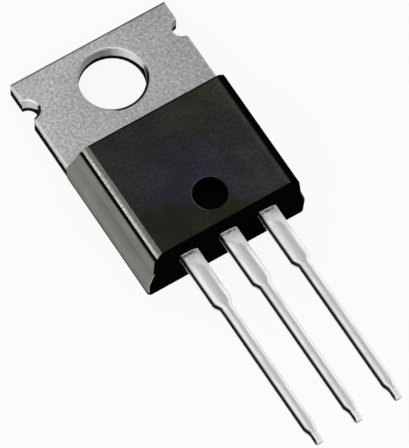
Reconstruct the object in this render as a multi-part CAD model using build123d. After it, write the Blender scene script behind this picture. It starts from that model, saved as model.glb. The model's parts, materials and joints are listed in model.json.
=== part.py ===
from build123d import *
import math
import os

# Fixed voltage regulator in a three-lead power package that bolts to a heat sink.
#
# Millimetres.  The part lies on its back.  X runs across the tab, with the input
# lead at -X and the output lead at +X.  Y runs from the lead tips up to the free
# end of the tab.  Z is the height above the heat-sink face.  The origin is the
# centre of the mounting hole on that face.
#
# On the bench the package comes apart into a moulded body, one copper piece that is
# tab, die pad and centre lead together, two outer leads with bond posts, the chip,
# the solder under it, and three aluminium wires.

# ---- tab and die pad, blanked from the thick side of the copper strip
TAB_WIDTH = 10.10
TAB_THICKNESS = 1.27
TAB_EXPOSED = 6.15            # free end of the tab to the moulded body
HOLE_DIAMETER = 3.84
HOLE_TO_TAB_END = 2.65
NOTCH_RADIUS = 0.60           # locating notches in the two side edges
NOTCH_TO_TAB_END = 1.88
NOTCH_LIP_RADIUS = 0.18       # worn-in lip on the notch's body side
DIE_ROLL = 0.10               # rounding that blanking leaves round the front face
PAD_LENGTH = 6.85             # buried part of the plate
PAD_STEP = 0.60               # the pad is narrower than the tab by this on each side
PAD_NECK = 0.45               # full-width tab that is buried before the step
PAD_LOCK_DEPTH = 0.25         # V groove across the pad that keeps moisture out
PAD_LOCK_FROM_BODY_EDGE = 1.00

# ---- leads, from the thin side of the strip
LEAD_PITCH = 2.54
LEAD_THICKNESS = 0.50
LEAD_UNDERSIDE = 2.50         # height of the lead's lower face, and the parting line
LEAD_LENGTH = 13.55           # from the moulded body to the tip
SHOULDER_LENGTH = 3.50
SHOULDER_WIDTH = 1.20
SHOULDER_TAPER = 0.38
SLIM_WIDTH = 0.76
TIP_LENGTH = 1.07             # step and chisel point together
TIP_TAPER = 0.38
TIP_WIDTH = 0.48
TIP_BEVEL = 0.12
POST_WIDTH = 2.00             # bond post at the buried end of an outer lead
POST_LENGTH = 1.90
POST_CORNER = 0.25
POST_NECK = 0.50              # shoulder that is buried before the post
JOGGLE_WIDTH = 1.80           # ribbon that rises from the pad to the centre lead
JOGGLE_BEND_RADIUS = 0.45
JOGGLE_OVERLAP = 0.60         # ribbon still inside the thickness of the pad

# ---- moulded body
BODY_LENGTH = 8.78
BODY_OVERHANG = 0.10          # moulding outside the tab's side edges, at its widest line
MOULDING_OVER_LEADS = 1.40
BACK_RECESS = 0.05            # the metal stands proud of the moulding's back
BACK_DRAFT = 3.0              # degrees, widest line down to the back
FLANK_DRAFT = 14.5            # degrees, widest line up to the level of the leads
UPPER_DRAFT = 5.0             # degrees, level of the leads up to the ledge
TAB_END_DRAFT = 15.0
LEAD_END_DRAFT = 3.0
LEAD_END_STEP = 0.05          # the mould's lower half stands proud under the leads
LEDGE_WIDTH = 0.18            # narrow step along both sides
RISER_HEIGHT = 0.25
CHAMFER_WIDTH = 0.34
CHAMFER_HEIGHT = 0.40
BODY_CORNER_RADIUS = 0.25      # rounds the two widest corners at the lead end
DIMPLE_DIAMETER = 2.00
DIMPLE_DEPTH = 0.55
DIMPLE_TO_FACE_EDGE = 1.75    # dimple centre to the lead-end edge of the front face
DIMPLE_DRAFT = 8.0

# ---- chip, solder and bond wires
CHIP_WIDTH = 2.40
CHIP_LENGTH = 2.00
CHIP_THICKNESS = 0.28
CHIP_TO_PAD_END = 3.30
SOLDER_THICKNESS = 0.06
SOLDER_MARGIN = 0.12
WIRE_DIAMETER = 0.20
WIRE_SIDES = 8
BOND_LENGTH = 0.45
BOND_FROM_CHIP_EDGE = 0.45
LOOP_RISE = 0.42              # crest of a loop above the higher of its two bonds
LOOP_PEAKS = 0.36             # the crest starts and ends this share of the run from a bond
LOOP_BEND_RADIUS = 0.28

SAME_PLACE = 0.01             # points closer together than this count as one

# ---- places worked out from the sizes above
TAB_END_Y = HOLE_TO_TAB_END
BODY_TOP_Y = TAB_END_Y - TAB_EXPOSED
BODY_END_Y = BODY_TOP_Y - BODY_LENGTH
PAD_END_Y = BODY_TOP_Y - PAD_LENGTH
LEAD_TOP = LEAD_UNDERSIDE + LEAD_THICKNESS
FRONT_FACE = LEAD_TOP + MOULDING_OVER_LEADS
LEDGE_LEVEL = FRONT_FACE - CHAMFER_HEIGHT - RISER_HEIGHT
LEAD_EXIT_Y = BODY_END_Y + LEAD_END_STEP
TIP_Y = LEAD_EXIT_Y - LEAD_LENGTH
POST_ROOT_Y = LEAD_EXIT_Y + POST_NECK
FACE_END_Y = LEAD_EXIT_Y + (FRONT_FACE - LEAD_UNDERSIDE) * math.tan(math.radians(LEAD_END_DRAFT))
CHIP_Y = PAD_END_Y + CHIP_TO_PAD_END
CHIP_UNDERSIDE = TAB_THICKNESS + SOLDER_THICKNESS
CHIP_TOP = CHIP_UNDERSIDE + CHIP_THICKNESS


def drafted(start, height, degrees):
    """Where a wall that starts at start ends, after leaning in over height."""
    return start - height * math.tan(math.radians(degrees))


def mirrored_outline(half):
    """Face whose outline is the given +X half and its mirror image."""
    other = [(-x, y) for x, y in reversed(half)]
    return make_face(Polyline(*half, *other, close=True))


def tab_plate():
    """Tab and die pad: one blank with a round hole and two side notches."""
    tab_length = TAB_EXPOSED + PAD_NECK
    tab = Pos(0, TAB_END_Y - tab_length / 2) * Rectangle(TAB_WIDTH, tab_length)
    pad = Pos(0, BODY_TOP_Y - PAD_LENGTH / 2) * Rectangle(TAB_WIDTH - 2 * PAD_STEP, PAD_LENGTH)
    notch_y = TAB_END_Y - NOTCH_TO_TAB_END
    outline = tab + pad - Circle(HOLE_DIAMETER / 2)
    for side in (-1, 1):
        outline -= Pos(side * TAB_WIDTH / 2, notch_y) * Circle(NOTCH_RADIUS)
    lips = outline.vertices().filter_by(
        lambda v: (abs(v.Y - (notch_y - NOTCH_RADIUS)) < SAME_PLACE
                   and abs(abs(v.X) - TAB_WIDTH / 2) < SAME_PLACE))
    plate = extrude(fillet(lips, NOTCH_LIP_RADIUS), TAB_THICKNESS)
    plate = fillet(plate.faces().sort_by(Axis.Z)[-1].edges(), DIE_ROLL)
    return plate - moisture_groove()


def moisture_groove():
    """V groove across the buried pad, just inside the moulded body."""
    y = BODY_TOP_Y - PAD_LOCK_FROM_BODY_EDGE
    low = TAB_THICKNESS - PAD_LOCK_DEPTH
    section = Plane.YZ * make_face(Polyline(
        (y - 2 * PAD_LOCK_DEPTH, TAB_THICKNESS + PAD_LOCK_DEPTH), (y, low),
        (y + 2 * PAD_LOCK_DEPTH, TAB_THICKNESS + PAD_LOCK_DEPTH), close=True))
    return extrude(section, TAB_WIDTH / 2, both=True)


def leg_outline(root_y):
    """Plan of a lead: wide shoulder, short taper, slim leg and chisel tip."""
    shoulder_end = LEAD_EXIT_Y - SHOULDER_LENGTH
    tip_start = TIP_Y + TIP_LENGTH
    return mirrored_outline([
        (SHOULDER_WIDTH / 2, root_y),
        (SHOULDER_WIDTH / 2, shoulder_end),
        (SLIM_WIDTH / 2, shoulder_end - SHOULDER_TAPER),
        (SLIM_WIDTH / 2, tip_start),
        (TIP_WIDTH / 2, tip_start - TIP_TAPER),
        (TIP_WIDTH / 2, TIP_Y)])


def tip_cutter():
    """Wedges that bevel the upper and lower edge of a lead's tip."""
    middle = LEAD_UNDERSIDE + LEAD_THICKNESS / 2
    reach = LEAD_THICKNESS
    upper = make_face(Polyline(
        (TIP_Y - reach, LEAD_TOP - TIP_BEVEL - reach), (TIP_Y + TIP_BEVEL + reach, LEAD_TOP + reach),
        (TIP_Y - reach, LEAD_TOP + reach), close=True))
    wedge = extrude(Plane.YZ * upper, LEAD_PITCH / 2, both=True)
    return wedge + mirror(wedge, Plane.XY.offset(middle))


def centre_lead():
    """Ribbon that leaves the pad, climbs to lead height and becomes the centre leg."""
    low = TAB_THICKNESS - LEAD_THICKNESS / 2
    high = LEAD_UNDERSIDE + LEAD_THICKNESS / 2
    path = FilletPolyline(
        (0, PAD_END_Y + JOGGLE_OVERLAP, low), (0, PAD_END_Y - JOGGLE_BEND_RADIUS / 2, low),
        (0, POST_ROOT_Y, high), (0, TIP_Y, high), radius=JOGGLE_BEND_RADIUS)
    section = Plane(origin=path @ 0, x_dir=(1, 0, 0), z_dir=path % 0) * Rectangle(
        JOGGLE_WIDTH, LEAD_THICKNESS)
    ribbon = sweep(section, path=path)
    joggle_top = PAD_END_Y + JOGGLE_OVERLAP
    joggle_end = POST_ROOT_Y
    joggle = Pos(0, (joggle_top + joggle_end) / 2) * Rectangle(JOGGLE_WIDTH, joggle_top - joggle_end)
    plan = leg_outline(POST_ROOT_Y) + joggle
    return (ribbon & extrude(plan, FRONT_FACE)) - tip_cutter()


def outer_lead(side):
    """Straight lead with a wide bond post at its buried end."""
    post = Pos(0, POST_ROOT_Y + POST_LENGTH / 2) * RectangleRounded(POST_WIDTH, POST_LENGTH, POST_CORNER)
    plan = leg_outline(POST_ROOT_Y + POST_LENGTH / 2) + post
    lead = Pos(0, 0, LEAD_UNDERSIDE) * extrude(plan, LEAD_THICKNESS) - tip_cutter()
    return Pos(side * LEAD_PITCH, 0, 0) * lead


def chip_solder():
    """Solder layer that spreads a little past the chip's edges."""
    foot = Pos(0, CHIP_Y, TAB_THICKNESS) * Rectangle(
        CHIP_WIDTH + 2 * SOLDER_MARGIN, CHIP_LENGTH + 2 * SOLDER_MARGIN)
    top = Pos(0, CHIP_Y, CHIP_UNDERSIDE) * Rectangle(CHIP_WIDTH, CHIP_LENGTH)
    return loft([foot, top])


def regulator_chip():
    return Pos(0, CHIP_Y, CHIP_UNDERSIDE) * extrude(Rectangle(CHIP_WIDTH, CHIP_LENGTH), CHIP_THICKNESS)


def bond_wire(start, end):
    """Wire that lies flat on a surface at both ends and loops over between them.

    start and end are the middles of the two bonds.  The section has eight sides, one
    of them underneath, so that each bond seats face to face.
    """
    first, last = Vector(*start), Vector(*end)
    run = Vector(last.X - first.X, last.Y - first.Y, 0)
    along = run.normalized()
    lift = Vector(0, 0, WIRE_DIAMETER / 2)
    heel = along * (BOND_LENGTH / 2)
    crest = max(first.Z, last.Z) + LOOP_RISE
    peak_a = Vector(first.X, first.Y, crest) + along * (run.length * LOOP_PEAKS)
    peak_b = Vector(last.X, last.Y, crest) - along * (run.length * LOOP_PEAKS)
    path = FilletPolyline(
        first + lift - heel, first + lift + heel, peak_a, peak_b,
        last + lift - heel, last + lift + heel, radius=LOOP_BEND_RADIUS)
    section_plane = Plane(origin=path @ 0, x_dir=Vector(0, 0, 1).cross(along), z_dir=along)
    section = section_plane * RegularPolygon(
        WIRE_DIAMETER / 2, WIRE_SIDES, major_radius=False, rotation=180 / WIRE_SIDES)
    return sweep(section, path=path)


def bond_wires():
    """Wires from the chip to the two bond posts, and one down to the pad."""
    bond_x = CHIP_WIDTH / 2 - BOND_FROM_CHIP_EDGE
    bond_y = CHIP_Y - CHIP_LENGTH / 2 + BOND_FROM_CHIP_EDGE
    post_y = POST_ROOT_Y + POST_LENGTH / 2
    ground_y = (CHIP_Y - CHIP_LENGTH / 2 - SOLDER_MARGIN + PAD_END_Y + JOGGLE_OVERLAP) / 2
    wires = {}
    for name, side in (("input_wire", -1), ("output_wire", 1)):
        wires[name] = bond_wire((side * bond_x, bond_y, CHIP_TOP), (side * LEAD_PITCH, post_y, LEAD_TOP))
    wires["ground_wire"] = bond_wire((0, bond_y, CHIP_TOP), (0, ground_y, TAB_THICKNESS))
    return wires


def front_outline():
    """Body seen from the leads: widest at the tab's front face, stepped near the top."""
    widest = TAB_WIDTH / 2 + BODY_OVERHANG
    back = drafted(widest, TAB_THICKNESS - BACK_RECESS, BACK_DRAFT)
    lead_level = drafted(widest, LEAD_UNDERSIDE - TAB_THICKNESS, FLANK_DRAFT)
    ledge = drafted(lead_level, LEDGE_LEVEL - LEAD_UNDERSIDE, UPPER_DRAFT)
    riser = ledge - LEDGE_WIDTH
    return mirrored_outline([
        (back, BACK_RECESS), (widest, TAB_THICKNESS), (lead_level, LEAD_UNDERSIDE),
        (ledge, LEDGE_LEVEL), (riser, LEDGE_LEVEL), (riser, LEDGE_LEVEL + RISER_HEIGHT),
        (riser - CHAMFER_WIDTH, FRONT_FACE)])


def side_outline():
    """Body seen from the side: a steep slope at the tab, a slight one at the leads."""
    face_top = drafted(BODY_TOP_Y, FRONT_FACE - TAB_THICKNESS, TAB_END_DRAFT)
    back_end = -drafted(-BODY_END_Y, LEAD_UNDERSIDE - BACK_RECESS, LEAD_END_DRAFT)
    return make_face(Polyline(
        (BODY_TOP_Y, BACK_RECESS), (BODY_TOP_Y, TAB_THICKNESS), (face_top, FRONT_FACE),
        (FACE_END_Y, FRONT_FACE), (LEAD_EXIT_Y, LEAD_UNDERSIDE), (BODY_END_Y, LEAD_UNDERSIDE),
        (back_end, BACK_RECESS), close=True))


def plan_outline():
    """Body seen from the front, with its two lead-end corners rounded."""
    plan = Pos(0, BODY_TOP_Y - BODY_LENGTH / 2) * Rectangle(TAB_WIDTH + 2 * BODY_OVERHANG, BODY_LENGTH)
    return fillet(plan.vertices().sort_by(Axis.Y)[:2], BODY_CORNER_RADIUS)


def body_form():
    """Outside of the moulding, where its front, side and plan views meet."""
    along = extrude(Plane.XZ * front_outline(), -BODY_END_Y)
    across = extrude(Plane.YZ * side_outline(), TAB_WIDTH, both=True)
    return along & across & extrude(plan_outline(), FRONT_FACE)


def dimple():
    """Round recess in the front face, with drafted wall."""
    y = FACE_END_Y + DIMPLE_TO_FACE_EDGE
    mouth = Pos(0, y, FRONT_FACE) * Circle(DIMPLE_DIAMETER / 2)
    return extrude(mouth, -DIMPLE_DEPTH, taper=DIMPLE_DRAFT)


def moulded_body(inner_pieces):
    body = body_form() - dimple()
    for piece in inner_pieces:
        body -= piece
    return body


def build():
    pieces = {
        "tab_with_centre_lead": tab_plate() + centre_lead(),
        "input_lead": outer_lead(-1),
        "output_lead": outer_lead(1),
        "chip_solder": chip_solder(),
        "regulator_chip": regulator_chip()}
    pieces.update(bond_wires())
    pieces["moulded_body"] = moulded_body(list(pieces.values()))
    return pieces


os.makedirs("parts", exist_ok=True)
for node, solid in build().items():
    export_step(solid, f"parts/{node}.step")
    print(node, round(solid.volume, 3), "mm3")
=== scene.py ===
# %% [markdown]
# # A voltage regulator in a three-lead power package
#
# A voltage regulator is a small black block of epoxy with a flat metal tab at one end
# and three flat leads at the other.  The tab carries the chip and bolts to a heat sink.
# This lesson dresses the exact solids of the part with finished surfaces: blasted
# nickel, bright tin, sheared copper and matt moulding compound.
#
# Every piece is made in metres in the same frame as the solids.  X runs across the tab,
# Y from the lead tips up to the free end of the tab, and Z is the height above the face
# that lies on the heat sink.

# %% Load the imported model
import json
import math

import bmesh
import bpy
from mathutils import Matrix, Vector

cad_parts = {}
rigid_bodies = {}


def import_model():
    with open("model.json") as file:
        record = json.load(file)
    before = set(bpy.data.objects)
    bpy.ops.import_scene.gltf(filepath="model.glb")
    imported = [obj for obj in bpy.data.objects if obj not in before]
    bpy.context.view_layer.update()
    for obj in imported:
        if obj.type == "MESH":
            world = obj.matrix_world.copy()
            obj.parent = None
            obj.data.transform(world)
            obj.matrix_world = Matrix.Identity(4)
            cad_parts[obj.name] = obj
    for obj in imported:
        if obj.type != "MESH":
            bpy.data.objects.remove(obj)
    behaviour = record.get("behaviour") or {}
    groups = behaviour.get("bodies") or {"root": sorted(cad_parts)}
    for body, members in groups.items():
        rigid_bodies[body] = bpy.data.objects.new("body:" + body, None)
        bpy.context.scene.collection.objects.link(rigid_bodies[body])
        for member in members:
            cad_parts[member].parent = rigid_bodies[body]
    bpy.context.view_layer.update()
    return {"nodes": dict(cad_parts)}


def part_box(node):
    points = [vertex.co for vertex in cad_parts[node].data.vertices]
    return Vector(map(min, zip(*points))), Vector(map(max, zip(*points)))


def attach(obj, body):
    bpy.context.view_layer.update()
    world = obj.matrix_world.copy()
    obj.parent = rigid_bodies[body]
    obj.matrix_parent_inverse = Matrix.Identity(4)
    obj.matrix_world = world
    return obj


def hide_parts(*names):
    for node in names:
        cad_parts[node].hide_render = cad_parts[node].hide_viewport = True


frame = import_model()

print("nodes:", ", ".join(sorted(frame["nodes"])))

# %% [markdown]
# ## The sizes that the pieces share
#
# The solids already hold most sizes, so they are read from the boxes of the nodes and
# not typed again.  What a box can't say, such as the lean of a wall or the radius of a
# notch, is named here once, in degrees or in metres.

# %% Sizes read from the solids, and the sizes that boxes can't give
MM = 0.001
tab_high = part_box("tab_with_centre_lead")[1]
body_low, body_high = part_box("moulded_body")
lead_low, lead_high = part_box("output_lead")


def lean(degrees, height):
    """How far a wall that leans by some degrees moves sideways over a height."""
    return height * math.tan(math.radians(degrees))


TAB_HALF_WIDTH = tab_high.x
TAB_THICKNESS = 1.27 * MM
TAB_END_Y = tab_high.y
HOLE_RADIUS = 1.92 * MM
NOTCH_Y = TAB_END_Y - 1.88 * MM
NOTCH_RADIUS = 0.60 * MM

LEAD_UNDERSIDE = lead_low.z
LEAD_TOP = lead_high.z
LEAD_THICKNESS = LEAD_TOP - LEAD_UNDERSIDE
LEAD_MIDDLE = (LEAD_TOP + LEAD_UNDERSIDE) / 2
LEAD_PITCH = 2.54 * MM
TIP_Y = lead_low.y
EXIT_Y = TIP_Y + 13.55 * MM

BACK_DRAFT = 3.0            # degrees, from the widest line down to the back
FLANK_DRAFT = 14.5          # from the widest line up to the leads
UPPER_DRAFT = 5.0           # from the leads up to the ledge
TAB_END_DRAFT = 15.0
LEAD_END_DRAFT = 3.0
BODY_HALF = body_high.x
BODY_TOP_Y = body_high.y
BODY_END_Y = body_low.y
BACK = body_low.z
FRONT_FACE = body_high.z
LEDGE_LEVEL = FRONT_FACE - 0.65 * MM
RISER_TOP = FRONT_FACE - 0.40 * MM
LEDGE_WIDTH = 0.18 * MM
CHAMFER_WIDTH = 0.34 * MM
LEAD_LEVEL_HALF = BODY_HALF - lean(FLANK_DRAFT, LEAD_UNDERSIDE - TAB_THICKNESS)
RISER_HALF = LEAD_LEVEL_HALF - lean(UPPER_DRAFT, LEDGE_LEVEL - LEAD_UNDERSIDE) - LEDGE_WIDTH
FACE_HALF = RISER_HALF - CHAMFER_WIDTH
FACE_TOP_Y = BODY_TOP_Y - lean(TAB_END_DRAFT, FRONT_FACE - TAB_THICKNESS)
FACE_END_Y = EXIT_Y + lean(LEAD_END_DRAFT, FRONT_FACE - LEAD_UNDERSIDE)
DIMPLE_RADIUS = 1.00 * MM
DIMPLE_Y = FACE_END_Y + 1.75 * MM

print("moulded body: %.2f x %.2f x %.2f mm" % tuple((body_high - body_low) / MM))
print("leads reach %.2f mm past the body" % ((BODY_END_Y - TIP_Y) / MM))

# %% [markdown]
# ## A short way to write node trees
#
# Materials and Geometry Nodes are both node trees.  Typed out link by link, a formula
# such as 1 - mask * 0.3 takes a dozen lines, so one small class wraps a socket and
# gives it Python's own operators.  Each operator puts in the Math node that does the
# same.  Any other node comes from add(), which takes the node's type, its settings and
# what goes into its sockets.

# %% Wire and Tree
def math_node(operation, swapped=False):
    """A method that puts in one Math node.  swapped is for a plain number on the left."""
    def method(self, other=0.0):
        first, second = (other, self) if swapped else (self, other)
        return self.tree.add("ShaderNodeMath", {"operation": operation}, {0: first, 1: second})
    return method


class Wire:
    """A socket of a node tree.  Arithmetic on it puts Math nodes in the tree."""

    def __init__(self, tree, socket):
        self.tree = tree
        self.socket = socket

    __add__ = __radd__ = math_node("ADD")
    __sub__ = math_node("SUBTRACT")
    __rsub__ = math_node("SUBTRACT", swapped=True)
    __mul__ = __rmul__ = math_node("MULTIPLY")
    __truediv__ = math_node("DIVIDE")
    __rtruediv__ = math_node("DIVIDE", swapped=True)
    __gt__ = math_node("GREATER_THAN")
    __lt__ = math_node("LESS_THAN")
    __abs__ = math_node("ABSOLUTE")
    sign = math_node("SIGN")
    at_least = math_node("MAXIMUM")
    at_most = math_node("MINIMUM")

    def ramp(self, start, end, low=0.0, high=1.0):
        """low up to start, high from end on, and a smooth change between."""
        return self.tree.add("ShaderNodeMapRange", {"interpolation_type": "SMOOTHSTEP"},
                             {0: self, 1: start, 2: end, 3: low, 4: high})

    def fade(self, start, end):
        """1 up to start, and 0 from end on."""
        return self.ramp(start, end, 1.0, 0.0)


class Tree:
    """A node tree being filled.  It works for materials and for Geometry Nodes."""

    def __init__(self, node_tree):
        self.node_tree = node_tree

    def add(self, kind, settings=None, inputs=None, output=0):
        """Puts in a node, with its settings first, and returns one of its outputs."""
        node = self.node_tree.nodes.new(kind)
        for name, value in (settings or {}).items():
            setattr(node, name, value)
        for name, value in (inputs or {}).items():
            self.feed(node.inputs[name], value)
        return Wire(self, node.outputs[output]) if len(node.outputs) else node

    def feed(self, socket, value):
        if isinstance(value, Wire):
            self.node_tree.links.new(value.socket, socket)
        elif socket.type == "VECTOR":
            socket.default_value = tuple(value)[:3]
        else:
            socket.default_value = value

    def parts(self, vector):
        """The x, y and z of a vector."""
        first = self.add("ShaderNodeSeparateXYZ", inputs={0: vector})
        return [Wire(self, socket) for socket in first.socket.node.outputs]


print("node helpers ready")

# %% [markdown]
# ## Finishes as procedural materials
#
# A finish is a material whose colour, roughness and relief come from its position on
# the piece.  The patterns read Object coordinates, scaled to millimetres, so a grain of
# a tenth of a millimetre is a tenth of a millimetre on every piece.  The class below
# adds what all the finishes share: the position, noise, mixing, and the shader at the
# end.

# %% The base of every finish
class Finish(Tree):
    """A material with one Principled shader, and millimetre positions for its patterns."""

    def __init__(self, name):
        self.material = bpy.data.materials.new(name)
        self.material.use_nodes = True
        super().__init__(self.material.node_tree)
        self.node_tree.nodes.clear()
        self.place = self.shade(self.add("ShaderNodeTexCoord", output="Object"), 1 / MM)
        self.x, self.y, self.z = self.parts(self.place)

    def stretched(self, x, y, z):
        """The position, squeezed by a factor of its own along each axis."""
        return self.add("ShaderNodeVectorMath", {"operation": "MULTIPLY"},
                        {0: self.place, 1: (x, y, z)})

    def distance(self, centre, place=None):
        """Distance in millimetres from a point."""
        return self.add("ShaderNodeVectorMath", {"operation": "DISTANCE"},
                        {0: place or self.place, 1: centre}, output="Value")

    def plan_distance(self, x, y):
        """Distance in millimetres from the upright line through (x, y)."""
        return self.distance((x, y, 0), self.stretched(1, 1, 0))

    def looks(self):
        """The direction that the surface looks in."""
        return self.add("ShaderNodeNewGeometry", output="Normal")

    def noise(self, per_mm, detail=2.0, roughness=0.5, place=None):
        return self.add("ShaderNodeTexNoise", inputs={
            "Vector": place or self.place, "Scale": per_mm,
            "Detail": detail, "Roughness": roughness})

    def mix(self, amount, first, second):
        """Colour that goes from first to second as amount goes from 0 to 1."""
        return self.add("ShaderNodeMix", {"data_type": "RGBA"},
                        {0: amount, 6: first, 7: second}, output=2)

    def shade(self, vector, factor):
        """A vector made longer or shorter, or a colour made lighter or darker."""
        return self.add("ShaderNodeVectorMath", {"operation": "SCALE"},
                        {0: vector, "Scale": factor})

    def relief(self, height, depth):
        return self.add("ShaderNodeBump", inputs={"Height": height, "Distance": depth})

    def surface(self, **sockets):
        """The Principled shader.  Socket names have underscores for spaces."""
        shader = self.add("ShaderNodeBsdfPrincipled", inputs={
            name.replace("_", " "): value for name, value in sockets.items()})
        self.add("ShaderNodeOutputMaterial", inputs={"Surface": shader})
        return self.material


def grey(value, warmth=0.0):
    """A near-neutral colour: warmth above 0 leans to yellow, below 0 to blue."""
    return (value * (1 + warmth), value, value * (1 - warmth), 1.0)


print("finish helpers ready")

# %% [markdown]
# ## Black moulding compound
#
# The body is epoxy filled with fused silica and blackened with carbon.  Straight from
# the mould it isn't an even black: resin and filler flow apart a little, which leaves
# cloudy olive and slate patches, and the filler gives a fine grain.  The cavity of the
# mould is polished on the sides, where parts slide out, and spark-eroded on the ends.
#
# Three functions make the five finishes, and all of them end in the same shader, so that
# they stay one material: the cloudy front, the sides, chamfers and corners, which carry
# painted light on the left, and the dull black ends.  The front also carries painted
# shade along two of its borders, a painted highlight inside the right one, painted light
# that grows towards the right, and a thin painted highlight on one side of the pin mark.

# %% Moulding compound
GRAIN = (7.0, 4.0, 0.7)             # noise per mm, detail, roughness
GRAIN_DEPTH = 0.004 * MM
MOTTLE = (0.6, 2.0)

# Places on the front face, in millimetres, and how strong each effect is.
CHIP_PLACE = (-0.2, -8.6, 4.4)      # the slate is deepest here
CHIP_REACH = 3.2
CLOUD_WANDER = 4.0
UPPER_CLOUD = (-7.3, -6.0, 0.0, 0.55)
RIGHT_CLOUD = (0.0, 4.0, 0.0, 0.28)
LOWER_CLOUD = (-11.8, -10.8)
LOWER_CLOUD_SLOPE = 0.45
LOWER_CLOUD_SHADE = 0.68
RIGHT_PAINTED_LIGHT = 1.35
# Painted shade on the right and upper borders of the face, a painted highlight inside the right
# one.
BORDER = 0.11
BORDER_SOFTNESS = 0.05
TOP_SHADE_DEPTH = 0.6
SHEEN_BAND_SPAN = (0.35, 0.10)               # from here to here inside the right border
SHEEN_BAND_STRENGTH = 0.45
# A thin painted highlight round one side of the pin mark.
PIN_HIGHLIGHT = (0.01, 0.03, 0.06, 0.09)
PIN_HIGHLIGHT_TONE = 0.065

# Heights and widths on the sides, in millimetres.
# Painted shade along the foot of the sides and on the inner ledge; the colour of the painted light.
FOOT_SHADE_LINE = 0.40
LINE_SOFTNESS = 0.08
LOW_BAND_SHEEN = 0.18
LEDGE_SHADE_TO = RISER_HALF / MM + 0.11
LEDGE_SOFTNESS = 0.04
PAINTED_LIGHT_BLUE = 0.86


def epoxy_colour(value, blue):
    """Near black; blue above 1 is slate, and below 1 olive."""
    return (value, value, value * blue, 1.0)


def epoxy_surface(finish, grain, colour, coat, gloss):
    """The shader that all the finishes of the compound end in."""
    return finish.surface(
        Base_Color=colour,
        Roughness=grain.ramp(0.3, 0.7, 0.50, 0.70),
        Specular_IOR_Level=gloss,
        Coat_Weight=coat,
        Coat_Roughness=0.30,
        Normal=finish.relief(grain, GRAIN_DEPTH))


def painted_border_light(finish):
    """Painted shade on two borders of the face, and a painted highlight beside the right one."""
    right, top = FACE_HALF / MM - BORDER, FACE_TOP_Y / MM - BORDER
    right_line = finish.x.ramp(right, right + BORDER_SOFTNESS)
    top_line = finish.y.ramp(top - BORDER_SOFTNESS, top)
    in_front = finish.z > LEDGE_LEVEL / MM
    painted_sheen = finish.x.ramp(right - SHEEN_BAND_SPAN[0], right - SHEEN_BAND_SPAN[1]) * SHEEN_BAND_STRENGTH
    kept = (1 - right_line * in_front) * (1 - top_line * in_front * TOP_SHADE_DEPTH)
    return (painted_sheen * in_front + 1) * kept


def pin_mark_painted_highlight(finish):
    """1 on a thin painted highlight round the left and upper side of the pin mark, else 0."""
    centre = Vector((0, DIMPLE_Y, FRONT_FACE)) / MM
    away = finish.distance(centre) - DIMPLE_RADIUS / MM
    leftward = (finish.y - centre.y) * 0.75 - finish.x * 0.65
    line = away.ramp(*PIN_HIGHLIGHT[:2]) * away.fade(*PIN_HIGHLIGHT[2:])
    return line * leftward.ramp(-0.30, 0.35) * finish.noise(2.6, 2.0).ramp(0.35, 0.60, 0.35, 1.0)


def cloudy_epoxy(name, tone, sheen, gloss, colours):
    """Flat faces.  colours: deep slate over the chip, slate round it, olive in the clouds."""
    finish = Finish(name)
    deep, slate, olive = (epoxy_colour(tone, blue) for blue in colours)
    upper = finish.y + (finish.noise(0.35, 3.0) - 0.5) * CLOUD_WANDER
    lower = (upper + finish.x * LOWER_CLOUD_SLOPE).fade(*LOWER_CLOUD)
    ground = finish.mix((finish.distance(CHIP_PLACE) / CHIP_REACH).ramp(0.2, 1.0), deep, slate)
    cloud = upper.ramp(*UPPER_CLOUD) + lower + finish.x.ramp(*RIGHT_CLOUD)
    colour = finish.mix(cloud, ground, olive)
    grain = finish.noise(*GRAIN)
    mottled = finish.noise(*MOTTLE).ramp(0.35, 0.65, 0.80, 1.20)
    speckle = mottled * grain.ramp(0.30, 0.70, 0.55, 1.45)
    # Painted light: the face grows lighter towards the right.
    speckle = speckle * finish.x.ramp(-1.0, 4.0, 1.0, RIGHT_PAINTED_LIGHT)
    # Darker lower cloud, and the painted shade and painted light of the borders.
    clouds_and_painted_light = (1 - lower * (1 - LOWER_CLOUD_SHADE)) * painted_border_light(finish)
    colour = finish.shade(colour, speckle * clouds_and_painted_light)
    # A thin painted highlight on one side of the pin mark's rim.
    colour = finish.mix(pin_mark_painted_highlight(finish), colour, epoxy_colour(PIN_HIGHLIGHT_TONE, 1.0))
    return epoxy_surface(finish, grain, colour, clouds_and_painted_light * sheen, gloss)


def painted_light_epoxy(name, tone, sheen, streaks, painted_pale, ledge=0.0):
    """Side faces, with painted light on the left.

    The painted light is given as two heights in millimetres, and how pale it is below the
    first and above the second.  Painted shade darkens the foot, and the ledge nearer the
    middle than ledge.
    """
    finish = Finish(name)
    height = finish.z
    left = finish.x < 0.0
    grain = finish.noise(*GRAIN)
    drawn = finish.noise(1.0, 3.0, 0.7, place=finish.stretched(14.0, 0.5, 14.0))
    mottled = finish.noise(*MOTTLE).ramp(0.35, 0.65, 0.90, 1.10)
    speckle = mottled * grain.ramp(0.30, 0.70, 1 - streaks * 1.3, 1 + streaks * 1.3)
    # Painted shade: dark on the inner part of the ledge, and along the foot.
    unshaded = abs(finish.x).ramp(ledge, ledge + LEDGE_SOFTNESS)
    unshaded = unshaded * height.ramp(FOOT_SHADE_LINE - LINE_SOFTNESS, FOOT_SHADE_LINE + LINE_SOFTNESS)
    # Painted light: paler on the left, with the coat only there.
    colour = finish.mix(left * height.ramp(*painted_pale),
                        epoxy_colour(tone, 0.95), epoxy_colour(1.0, PAINTED_LIGHT_BLUE))
    widest = TAB_THICKNESS / MM
    low_band = height.ramp(widest - LINE_SOFTNESS, widest + LINE_SOFTNESS, LOW_BAND_SHEEN, 1.0)
    coat = drawn.ramp(0.3, 0.7, 1 - streaks, 1.0) * unshaded * left * low_band * sheen
    shade = speckle * (1 - streaks + drawn * (2 * streaks)) * unshaded
    return epoxy_surface(finish, grain, finish.shade(colour, shade), coat, gloss=0.12)


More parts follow.
